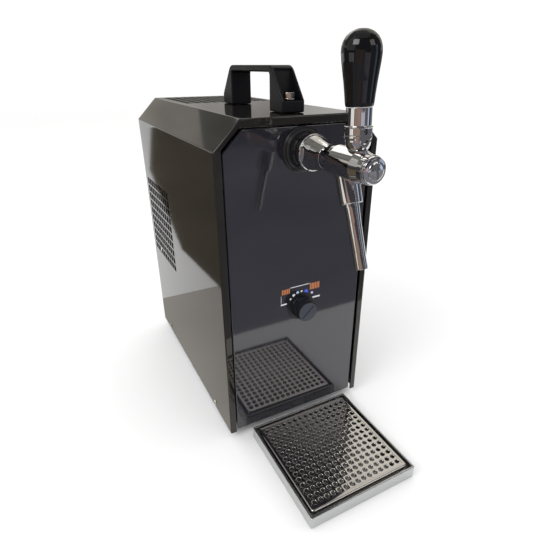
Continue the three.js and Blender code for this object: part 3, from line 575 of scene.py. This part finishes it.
# ---------------------------------------------------------------- handle
def build_handle():
    along = Matrix(((0, 0, 1, 0), (1, 0, 0, HANDLE_Y), (0, 1, 0, HANDLE_SEAT), (0, 0, 0, 1)))
    under = HANDLE_HEIGHT - HANDLE_BAR
    half = [
        (HANDLE_REACH, 0.0), (HANDLE_REACH, HANDLE_LEDGE, 5.0), (56.8, HANDLE_HEIGHT, 13.0),
        (0.0, HANDLE_HEIGHT),
    ]
    outer = rounded(half, 8)[:-1]
    inner = rounded([(HANDLE_LEG, 0.0), (HANDLE_LEG, under, 4.0), (0.0, under)], 5)[:-1]
    flip = [(-u, v) for u, v in outer[::-1]]
    outline = outer + flip + [(-u, v) for u, v in inner] + inner[::-1]
    verts, faces = prism(outline, -HANDLE_HALF_WIDTH, HANDLE_HALF_WIDTH, along)
    handle = piece("handle_moulding", verts, faces, MOULDED, "casing", ["carry_handle"])
    carved(handle, [], bevel=1.9, segments=4, angle=50)
    mouth = HANDLE_REACH + 1
    pocket = rounded([
        (mouth, HANDLE_LEDGE), (mouth, 42.8), (57.2, 42.8, 3.0), (62.0, HANDLE_LEDGE), (mouth, HANDLE_LEDGE),
    ])
    cutters = []
    for way in (1, -1):
        shape = [(way * u, v) for u, v in pocket[:-1]]
        inside = HANDLE_HALF_WIDTH - HANDLE_WALL
        cutters.append(prism(shape, -inside, inside, along))
    carved(handle, cutters, bevel=0.5, segments=2, angle=50)
    for end, y in (("front", HANDLE_Y - HANDLE_BOLT), ("rear", HANDLE_Y + HANDLE_BOLT)):
        seat = HANDLE_SEAT + HANDLE_LEDGE + 0.3
        stand = Matrix.Translation((0, y, seat)) @ Matrix.Rotation(0.35, 4, "Z")
        hexagon = [(5.8 * math.cos(k * math.pi / 3), 5.8 * math.sin(k * math.pi / 3)) for k in range(6)]
        verts, faces = prism(hexagon, 1.6, 7.4, stand)
        washer = rounded([(0, 0), (6.8, 0, 0.4), (6.8, 1.7, 0.4), (0, 1.7)], 3)
        ring_verts, ring_faces = turned(washer, 40, stand)
        offset = len(verts)
        verts = verts + ring_verts
        faces = faces + [[i + offset for i in face] for face in ring_faces]
        name = f"handle_bolt_head_{end}"
        bolt = piece(name, verts, faces, NICKEL, "casing", [f"handle_bolt_{end}"], weighted=False)
        add_bevel(bolt, 0.45, 3, 40)


# ---------------------------------------------------------------- thermostat
def build_thermostat():
    plate = rounded([(0, 0.0), (RING_RADIUS, 0.0), (RING_RADIUS, RING_HEIGHT, 0.3), (0, RING_HEIGHT)], 3)
    base = Matrix.Translation((KNOB_X, PANEL_RECESS, KNOB_Z)) @ Matrix.Rotation(math.pi / 2, 4, "X")
    lathe("dial_ring", plate, PLASTIC, "casing", ["thermostat_scale"], base)

    ribs = 30
    profile = rounded([
        (0, 18.4), (12.9, 18.4, 0.9), (14.2, 3.0, 0.5), (14.4, 1.6, 0.3), (14.4, 1.2), (0, 1.2),
    ], 4)

    def ribbed(angle, radius, height):
        if radius < 12.6 or height < 2.6:
            return radius
        return radius - 0.6 * (0.5 + 0.5 * math.cos(angle * ribs)) ** 2

    knob = lathe("dial_knob", profile, DIAL, "thermostat_dial", ["thermostat_knob"], base, 240, 40, ribbed)
    line = base @ Matrix.Rotation(math.radians(43), 4, "Z")
    groove = block((-10.8, -0.7, 17.7), (10.8, 0.7, 19.0))
    carved(knob, [([line @ v for v in groove[0]], groove[1])], sharp=40)
    # faces turned to the front take the lighter colour: painted light on the knob's face
    knob.data.materials.append(DIAL_FACE_PAINTED_LIGHT)
    for polygon in knob.data.polygons:
        if polygon.normal.y < -0.95:
            polygon.material_index = 1


def flat_marks(name, shapes, ink, height=0.16):
    """Printed marks: thin raised outlines on the front panel, given in x and z."""
    matrix = Matrix.Translation((0, PANEL_RECESS, 0)) @ Matrix.Rotation(math.pi / 2, 4, "X")
    verts = []
    faces = []
    for outline, lift in shapes:
        more_verts, more_faces = prism(outline, lift, lift + height, matrix)
        faces += [[i + len(verts) for i in face] for face in more_faces]
        verts += more_verts
    piece(name, verts, faces, ink, "casing", weighted=False)


def bar(x0, z0, x1, z1, width):
    start, end = Vector((x0, z0)), Vector((x1, z1))
    side = (end - start).normalized().orthogonal() * width / 2
    return [tuple(p) for p in (start + side, start - side, end - side, end + side)]


def dot(x, z, radius):
    angles = [k * math.pi / 10 for k in range(20)]
    return [(x + radius * math.cos(angle), z + radius * math.sin(angle)) for angle in angles]


def build_scale():
    on_panel = 0.0
    on_ring = RING_HEIGHT
    blocks = []
    for low, high, base, top, count in ((-24.0, -12.6, 187.0, 193.8, 5), (15.4, 30.0, 185.6, 194.2, 6)):
        pitch = (high - low) / count
        for k in range(count):
            middle = low + (k + 0.5) * pitch
            blocks.append((bar(middle, base, middle, top, 0.62 * pitch), on_panel))
    flat_marks("scale_blocks", [(shift(s), l) for s, l in blocks], ORANGE_INK)
    lines = [
        (bar(-12.0, 194.2, 15.0, 194.4, 0.8), on_panel),
        (bar(-25.0, 173.6, -16.8, 173.6, 1.9), on_panel),
        (bar(-24.6, 175.0, -24.6, 185.6, 0.35), on_panel),
        (bar(18.6, 173.6, 31.0, 173.6, 2.2), on_panel),
    ]
    flat_marks("scale_lines", [(shift(s), l) for s, l in lines], WHITE_INK)
    dots = [
        ("scale_dot_1", WHITE_INK, -11.1, 178.4, 1.5), ("scale_dot_2", WHITE_INK, -7.0, 183.0, 1.9),
        ("scale_dot_3", SKY_INK, -1.6, 185.6, 1.9), ("scale_dot_4", WHITE_INK, 4.0, 186.2, 1.3),
        ("scale_dot_5", BLUE_INK, 10.5, 184.6, 2.7), ("scale_dot_6", VIOLET_INK, 19.1, 180.7, 1.7),
    ]
    for name, ink, x, z, radius in dots:
        away = math.hypot(x - KNOB_X, z + CLEARANCE - KNOB_Z)
        lift = on_ring if away + radius < RING_RADIUS - 0.2 else on_panel
        flat_marks(name, [(shift(dot(x, z, radius)), lift)], ink)


def shift(outline):
    """Heights above the casing's lower edge as heights above the worktop."""
    return [(x, z + CLEARANCE) for x, z in outline]


# ---------------------------------------------------------------- tap
def build_tap():
    axis = towards_back(0, TAP_Z)
    lathe("tap_rosette", rounded([
        (12.6, 1.7), (23.9, 1.7), (23.9, -0.5, 0.5), (22.6, -1.7, 0.5), (21.9, -4.2, 0.8), (20.2, -5.7, 0.6),
        (12.6, -5.7),
    ], 4), PLASTIC, "casing", ["tap_escutcheon"], axis)
    nut = lathe("tap_nut_black", rounded([
        (12.6, -6.0), (18.6, -6.0, 0.4), (18.6, -12.6, 0.7), (17.6, -13.4, 0.4), (15.6, -13.4, 0.3),
        (15.6, -20.4, 0.5), (12.6, -20.4),
    ], 4), PLASTIC, "casing", ["tap_ring_nut"], axis)
    notches = []
    for k in range(8):
        turn = Matrix.Translation((0, 0, TAP_Z)) @ Matrix.Rotation(k * math.pi / 4, 4, "Y")
        verts, faces = block((-1.6, -14.0, 17.3), (1.6, -8.0, 21.0))
        notches.append(([turn @ v for v in verts], faces))
    carved(nut, notches, bevel=0.2, segments=2, angle=50)
    lathe("tap_shank_tube", rounded([
        (5.0, -20.7), (12.2, -20.7, 0.4), (12.2, 34.0, 0.4), (5.0, 34.0),
    ], 3), CHROME, "casing", ["tap_shank"], axis, 64)

    collar = lathe("tap_bell", rounded([
        (8.5, -21.0), (18.3, -21.0, 0.5), (18.7, -22.2, 0.6), (18.2, -23.6, 0.5), (17.3, -24.2, 0.4),
        (16.2, -29.0, 9.0), (14.8, -34.5, 20.0), (13.7, -40.0, 20.0), (12.9, -44.5, 20.0), (12.3, -49.7, 0.4),
        (8.5, -49.7),
    ], 6), CHROME, "casing", ["tap_collar"], axis, 128)
    carved(collar, [
        block((15.4, -47.0, TAP_Z - 20), (30.0, -24.9, TAP_Z + 20)),
        block((-30.0, -47.0, TAP_Z - 20), (-15.4, -24.9, TAP_Z + 20)),
    ], sharp=24)

    body = lathe("tap_barrel", rounded([
        (8.5, -50.0), (12.3, -50.0, 0.3), (12.5, -54.0, 9.0), (14.0, -62.0, 12.0), (BODY_RADIUS, -68.0, 5.0),
        (BODY_RADIUS, -100.0, 8.0), (12.8, -109.0, 8.0), (12.8, -115.3, 0.3), (8.5, -115.3),
    ], 6), CHROME, "casing", ["tap_body"], axis, 128)
    seat = turned([(0, -11.6)] + [
        (11.6 * math.sin(k * math.pi / 24), -11.6 * math.cos(k * math.pi / 24)) for k in range(1, 24)
    ] + [(0, 11.6)], 64, Matrix.Translation((0, PIVOT_Y, PIVOT_Z)))
    slot = block((-3.2, -98.5, PIVOT_Z - 21), (3.2, -80.5, PIVOT_Z - 4))
    carved(body, [seat, slot], sharp=28)

    cap = lathe("tap_cap", rounded([
        (0, -115.6), (12.3, -115.6, 0.2), (12.3, -116.4, 0.2), (11.3, -116.8, 0.2), (12.0, -117.4, 0.3),
        (11.9, -118.7, 0.8), (10.6, -119.9, 0.8), (8.8, -120.3, 0.1), (8.5, -119.9, 0.1), (8.1, -120.8, 0.4),
        (6.8, -121.4, 2.0), (4.0, -121.8, 5.0), (0, -122.0),
    ], 5), CHROME, "casing", ["tap_end_cap"], axis, 128)
    turn = Matrix.Translation((0, 0, TAP_Z)) @ Matrix.Rotation(-0.25, 4, "Y")
    verts, faces = block((-1.15, -123.0, -7.4), (1.15, -119.6, 7.4))
    carved(cap, [([turn @ v for v in verts], faces)], sharp=28)

    lathe("tap_piston", rounded([
        (0, -90.45), (2.45, -89.45), (3.5, -86.9), (3.6, -60.0), (7.4, -55.5, 0.5), (7.4, -51.0, 0.5),
        (0, -50.0),
    ], 5), STEEL, "piston", ["valve_piston"], axis, 40)


def build_lever():
    start = math.asin(2.5 / BALL)
    ball = []
    for k in range(17):
        angle = start + (math.pi / 2 - start) * k / 16
        ball.append((BALL * math.sin(angle), -BALL * math.cos(angle)))
    profile = [(0, -22.95), (1.55, -22.95), (2.45, -21.95)] + ball + rounded([
        (BALL, 0.5), (BALL, 1.4, 0.6), (12.0, 2.9, 0.8), (12.0, 4.7, 0.2), (11.6, 4.9, 0.1), (11.6, 5.5, 0.1),
        (12.0, 5.7, 0.2), (12.0, 10.9, 0.3), (12.4, 11.3, 0.3), (12.3, 12.4, 0.4), (11.1, 12.7, 0.3),
        (11.1, 27.2, 0.3), (0, 27.2),
    ], 4)[1:]
    lever = lathe("lever_arm", profile, CHROME, "lever", ["tap_lever"], LEVER_FRAME, 128)

    def in_lever(shape):
        return [LEVER_FRAME @ v for v in shape[0]], shape[1]

    facing = Matrix.Translation((0, 0, 8.0)) @ Matrix.Rotation(math.pi / 2, 4, "X")
    socket = turned([(0, 4.0), (2.3, 4.0), (2.3, 14.0), (0, 14.0)], 32, LEVER_FRAME @ facing)
    dimple = Matrix.Translation((0.6, 0, 0.4)) @ Matrix.Rotation(math.pi / 2, 4, "X")
    dimple = dimple @ Matrix.Rotation(0.7, 4, "Z") @ Matrix.Diagonal((1.7, 1.0, 1.0, 1.0))
    recess = turned([(0, 8.8), (1.9, 8.8), (1.9, 14.0), (0, 14.0)], 32, LEVER_FRAME @ dimple)
    carved(lever, [in_lever(block((-15, -15, -5), (15, -10.3, 10.5))), socket, recess], sharp=26)

    screw = [(0, 8.0), (1.0, 8.0), (1.0, 9.2, 0.1), (1.9, 9.2, 0.2), (1.9, 4.4), (0, 4.4)]
    lathe("lever_screw", rounded(screw, 3), ZINC, "lever", ["lever_set_screw"], LEVER_FRAME @ facing, 24)

    lathe("lever_knob", rounded([
        (0, 27.5), (11.3, 27.5, 0.5), (11.9, 28.4, 0.6), (12.3, 30.5, 5.0), (13.1, 38.5, 30.0),
        (14.1, 47.0, 30.0), (15.2, 54.5, 30.0), (16.2, 61.5, 30.0), (16.8, 68.0, 20.0), (16.5, 72.6, 12.0),
        (15.2, 76.8, 10.0), (12.8, 80.4, 10.0), (9.4, 83.2, 10.0), (5.0, 85.0, 10.0), (0, 85.4),
    ], 6), KNOB, "lever", ["tap_knob"], LEVER_FRAME, 128, 60)


def build_spout():
    lathe("spout_socket", rounded([
        (5.0, 24.0), (11.2, 24.0), (11.1, 18.0, 20.0), (11.0, 9.7, 40.0), (10.8, 0.0, 20.0),
        (10.7, -3.5, 0.8), (10.0, -4.2, 0.4), (7.6, -4.2, 0.2), (7.6, 5.9), (5.0, 5.9),
    ], 5), CHROME, "casing", ["spout_nozzle"], SPOUT_FRAME, 96)
    lathe("spout_pipe", rounded([
        (5.3, -66.0), (6.0, -66.0, 0.2), (6.35, -65.6, 0.3), (6.35, -64.8, 0.4), (6.2, -50.0, 60.0),
        (6.5, -22.0, 60.0), (7.1, -7.0, 30.0), (7.2, 5.6), (5.4, 5.6), (5.3, -50.0),
    ], 5), CHROME, "casing", ["spout_tube"], SPOUT_FRAME, 96)


# ---------------------------------------------------------------- drip tray
def rounded_rectangle(half, front, rear, radius, steps):
    corners = [(-half, front), (half, front), (half, rear), (-half, rear)]
    points = []
    for i, corner in enumerate(corners):
        here = Vector(corner)
        points += arc(here, Vector(corners[i - 1]) - here, Vector(corners[(i + 1) % 4]) - here, radius, steps)
    return points


def build_tray():
    section = rounded([
        (6.0, 0.0), (0.0, 0.0, 1.4), (0.0, TRAY_HEIGHT - 2.6, 0.3), (0.12, TRAY_HEIGHT - 2.3, 0.2),
        (0.0, TRAY_HEIGHT - 2.0, 0.3), (0.0, TRAY_HEIGHT, 0.6), (2.4, TRAY_HEIGHT, 0.7),
        (2.4, TRAY_HEIGHT - 2.6, 0.6), (1.0, TRAY_HEIGHT - 3.2, 0.3), (1.0, 1.0, 1.0), (6.0, 1.0),
    ], 5)
    rings = []
    for inset, z in section:
        outline = rounded_rectangle(
            TRAY_HALF - inset, TRAY_FRONT + inset, TRAY_REAR - inset, max(2.0 - inset, 0.5), 5,
        )
        rings.append([(x, y, z) for x, y in outline])
    verts, faces = shell(rings)
    piece("tray_pan", verts, faces, STEEL, "tray", ["drip_tray"], sharp=40)


def build_grille():
    """A pressed plate: rolled-down edges and rows of holes with turned-down rims."""
    middle_y = (GRILLE_FRONT + GRILLE_REAR) / 2
    reach = GRILLE_HOLES * GRILLE_PITCH / 2
    sides = 32
    rim = [(GRILLE_HOLE + 0.75, 0.0), (GRILLE_HOLE + 0.42, -0.06), (GRILLE_HOLE + 0.16, -0.24),
           (GRILLE_HOLE, -0.55), (GRILLE_HOLE - 0.02, -1.2)]
    verts = []
    faces = []
    grid = {}

    def edge_vertex(x, y):
        key = (round(x, 4), round(y, 4))
        if key not in grid:
            grid[key] = len(verts)
            verts.append((x, y, GRILLE_TOP))
        return grid[key]

    half = GRILLE_PITCH / 2
    for row in range(GRILLE_HOLES):
        for column in range(GRILLE_HOLES):
            cx = (column - (GRILLE_HOLES - 1) / 2) * GRILLE_PITCH
            cy = middle_y + (row - (GRILLE_HOLES - 1) / 2) * GRILLE_PITCH
            border = []
            for k in range(sides):
                angle = 2 * math.pi * k / sides
                c, s = math.cos(angle), math.sin(angle)
                scale = half / max(abs(c), abs(s))
                border.append(edge_vertex(cx + c * scale, cy + s * scale))
            previous = border
            for radius, drop in rim:
                ring = []
                for k in range(sides):
                    angle = 2 * math.pi * k / sides
                    ring.append(len(verts))
                    x, y = cx + radius * math.cos(angle), cy + radius * math.sin(angle)
                    verts.append((x, y, GRILLE_TOP + drop))
                for k in range(sides):
                    n = (k + 1) % sides
                    faces.append([previous[k], previous[n], ring[n], ring[k]])
                previous = ring
    # the border of the holes' area, point by point, and the rolled edge round it
    def outermost(key):
        return abs(abs(key[0]) - reach) < 1e-3 or abs(abs(key[1] - middle_y) - reach) < 1e-3

    on_border = sorted(filter(outermost, grid), key=lambda key: math.atan2(key[1] - middle_y, key[0]))
    section = rounded([(4.6, 0.0), (0.0, 0.0, 2.6), (0.0, -13.0)], 8)
    previous = [grid[key] for key in on_border]
    for inset, drop in section:
        ring = []
        for key in on_border:
            ring.append(len(verts))
            x, y = edge_point(key[0], key[1] - middle_y, inset, reach)
            verts.append((x, y + middle_y, GRILLE_TOP + drop))
        for k in range(len(ring)):
            n = (k + 1) % len(ring)
            faces.append([previous[k], previous[n], ring[n], ring[k]])
        previous = ring
    grille = piece("grille_plate", verts, faces, MIRROR, "grille", ["drip_grille"], sharp=50, weighted=False)
    thickness = grille.modifiers.new("sheet", "SOLIDIFY")
    thickness.thickness = 0.5 * MM
    thickness.offset = -1.0


def edge_point(x, y, inset, reach):
    """Carries a point on the border of the holes' area out to the rounded edge of the plate."""
    half_x = GRILLE_HALF - inset
    half_y = (GRILLE_REAR - GRILLE_FRONT) / 2 - inset
    radius = max(4.0 - inset, 0.8)
    px = x / reach * half_x
    py = y / reach * half_y
    over_x = abs(px) - (half_x - radius)
    over_y = abs(py) - (half_y - radius)
    if over_x > 0 and over_y > 0:
        scale = radius / math.hypot(over_x, over_y)
        px = math.copysign(half_x - radius + over_x * scale, px)
        py = math.copysign(half_y - radius + over_y * scale, py)
    return px, py


# ---------------------------------------------------------------- pieces kept from the CAD
KEPT = {
    "rear_panel": (POWDER, 0.5), "base_pan": (ZINC, 0.4), "thermostat_body": (ZINC, 0.5),
    "tap_back_nut": (ZINC, 0.6),
    "insulation_case": (FOAM, 2.0), "insulation_lid": (FOAM, 1.5), "cooling_block": (ALUMINIUM, 2.0),
    "beer_line_in": (HOSE, 0), "beer_line_out": (HOSE, 0), "beer_inlet_fitting": (PLASTIC, 0.3),
    "compressor": (PAINT, 1.5), "condenser": (ALUMINIUM, 0.3), "fan_frame": (PLASTIC, 0.8),
    "fan_motor": (PLASTIC, 0.8), "fan_rotor": (PLASTIC, 0.4), "filter_drier": (COPPER, 0.4),
    "condenser_line": (COPPER, 0), "discharge_line": (COPPER, 0), "capillary_line": (COPPER, 0),
    "mains_inlet": (PLASTIC, 0.5), "switch_bezel": (PLASTIC, 0.5), "switch_rocker": (KNOB, 0.5),
    "cover_screw_front_left": (NICKEL, 0.3), "cover_screw_front_right": (NICKEL, 0.3),
    "cover_screw_rear_left": (NICKEL, 0.3), "cover_screw_rear_right": (NICKEL, 0.3),
    "foot_front_left": (RUBBER, 0.6), "foot_front_right": (RUBBER, 0.6),
    "foot_rear_left": (RUBBER, 0.6), "foot_rear_right": (RUBBER, 0.6),
    "compressor_mount_front_left": (RUBBER, 0.5), "compressor_mount_front_right": (RUBBER, 0.5),
    "compressor_mount_rear_left": (RUBBER, 0.5), "compressor_mount_rear_right": (RUBBER, 0.5),
}


def dress_kept():
    for name, (finish, width) in KEPT.items():
        obj = frame["nodes"][name]
        for slot in obj.material_slots:
            slot.material = finish
        if width:
            add_bevel(obj, width, 2, 35)
        modifier = obj.modifiers.new("weighted", "WEIGHTED_NORMAL")
        modifier.keep_sharp = False


# ---------------------------------------------------------------- stage, light, painted reflections and camera
def panel_light(name, size, location, target, power):
    data = bpy.data.lights.new(name, "AREA")
    data.shape = "RECTANGLE"
    data.size, data.size_y = size
    data.energy = power
    light = bpy.data.objects.new(name, data)
    light.location = location
    light.rotation_euler = (Vector(target) - Vector(location)).to_track_quat("-Z", "Y").to_euler()
    bpy.context.scene.collection.objects.link(light)


def paint_floor_reflection(name, outline, color):
    """A painted reflection: a glowing patch lying on the floor."""
    painted_reflection_patch(name, [(x, y, CARD_HEIGHT) for x, y in outline], [list(range(len(outline)))], color)


def paint_wall_reflection(name, start, end, high, color):
    """A painted reflection: a glowing curved wall, between two bearings in degrees."""
    steps = 8
    verts = []
    for k in range(steps + 1):
        bearing = math.radians(start + (end - start) * k / steps)
        x, y = WALL_RADIUS * math.cos(bearing), WALL_RADIUS * math.sin(bearing)
        verts += [(x, y, 0.0), (x, y, high)]
    faces = [[2 * k, 2 * k + 2, 2 * k + 3, 2 * k + 1] for k in range(steps)]
    painted_reflection_patch(name, verts, faces, color)


def painted_reflection_patch(name, verts, faces, color):
    """A painted reflection: a softly mottled, glowing patch that only shows as a reflection."""
    mesh = bpy.data.meshes.new(name)
    mesh.from_pydata(verts, [], faces)
    obj = bpy.data.objects.new(name, mesh)
    bpy.context.scene.collection.objects.link(obj)
    mat = bpy.data.materials.new(name)
    mat.use_nodes = True
    nodes = mat.node_tree.nodes
    nodes.remove(nodes["Principled BSDF"])
    glow = nodes.new("ShaderNodeEmission")
    links = mat.node_tree.links
    place = nodes.new("ShaderNodeTexCoord")
    clouds = nodes.new("ShaderNodeTexNoise")
    clouds.inputs["Scale"].default_value = 1.7
    links.new(place.outputs["Object"], clouds.inputs["Vector"])
    shade = nodes.new("ShaderNodeMix")
    shade.data_type = "RGBA"
    shade.inputs["A"].default_value = (*[c * 0.45 for c in color], 1)
    shade.inputs["B"].default_value = (*[c * 1.55 for c in color], 1)
    links.new(clouds.outputs["Fac"], shade.inputs["Factor"])
    links.new(shade.outputs["Result"], glow.inputs["Color"])
    links.new(glow.outputs["Emission"], nodes["Material Output"].inputs["Surface"])
    mesh.materials.append(mat)
    # hidden from the camera, from diffuse light and from shadows, so the glow only paints reflections
    obj.visible_camera = False
    obj.visible_diffuse = False
    obj.visible_shadow = False


def paint_dome_reflection(name, start, end, low, high, color):
    """A painted reflection: part of a glowing dome overhead, between two bearings and two heights in degrees.
    """
    across, up = 24, 6
    verts = []
    for i in range(up + 1):
        height = math.radians(low + (high - low) * i / up)
        for k in range(across + 1):
            bearing = math.radians(start + (end - start) * k / across)
            level = DOME_RADIUS * math.cos(height)
            z = DOME_BASE + DOME_RADIUS * math.sin(height)
            verts.append((level * math.cos(bearing), level * math.sin(bearing), z))
    row = across + 1
    faces = [
        [i * row + k, i * row + k + 1, (i + 1) * row + k + 1, (i + 1) * row + k]
        for i in range(up) for k in range(across)
    ]
    painted_reflection_patch(name, verts, faces, color)


def build_stage():
    mesh = bpy.data.meshes.new("floor")
    reach = FLOOR_REACH
    corners = [(-reach, -reach, 0), (reach, -reach, 0), (reach, reach, 0), (-reach, reach, 0)]
    mesh.from_pydata(corners, [], [(0, 1, 2, 3)])
    floor = bpy.data.objects.new("floor", mesh)
    bpy.context.scene.collection.objects.link(floor)
    floor.data.materials.append(material("floor_pale", (0.94, 0.94, 0.94), 0.9, mottle=0.004, wear=0.01))

    world_data = bpy.data.worlds.new("studio")
    bpy.context.scene.world = world_data
    world_data.use_nodes = True
    background = world_data.node_tree.nodes["Background"]
    background.inputs["Color"].default_value = (1.0, 1.0, 1.0, 1)
    background.inputs["Strength"].default_value = 1.07
    panel_light("key", (1.1, 0.8), (-1.5, -0.5, 1.7), (0, 0, 0.2), 13)
    panel_light("back", (1.6, 0.8), (0.3, 1.9, 1.7), (0, 0, 0.2), 5)

    # glowing patches that paint reflections on the glossy parts
    for name, (outline, color) in PAINTED_FLOOR_REFLECTIONS.items():
        paint_floor_reflection(name, outline, color)
    for name, (start, end, high, color) in PAINTED_WALL_REFLECTIONS.items():
        paint_wall_reflection(name, start, end, high, color)
    for name, (start, end, low, high, color) in PAINTED_DOME_REFLECTIONS.items():
        paint_dome_reflection(name, start, end, low, high, color)


def build_camera():
    data = bpy.data.cameras.new("camera")
    data.sensor_width = SENSOR_WIDTH
    data.lens = CAMERA_LENS
    camera = bpy.data.objects.new("camera", data)
    camera.location = (CAMERA_X, CASING_FRONT - CAMERA_AHEAD, CAMERA_HEIGHT)
    level = math.cos(CAMERA_DOWN)
    ahead = Vector((
        math.sin(CAMERA_BEARING) * level, math.cos(CAMERA_BEARING) * level, -math.sin(CAMERA_DOWN),
    ))
    camera.rotation_euler = ahead.to_track_quat("-Z", "Y").to_euler()
    bpy.context.scene.collection.objects.link(camera)
    bpy.context.scene.camera = camera


build_cover()
build_front_panel()
build_handle()
build_thermostat()
build_scale()
build_tap()
build_lever()
build_spout()
build_tray()
build_grille()
dress_kept()
build_stage()
build_camera()
bpy.context.scene.view_settings.view_transform = "Standard"
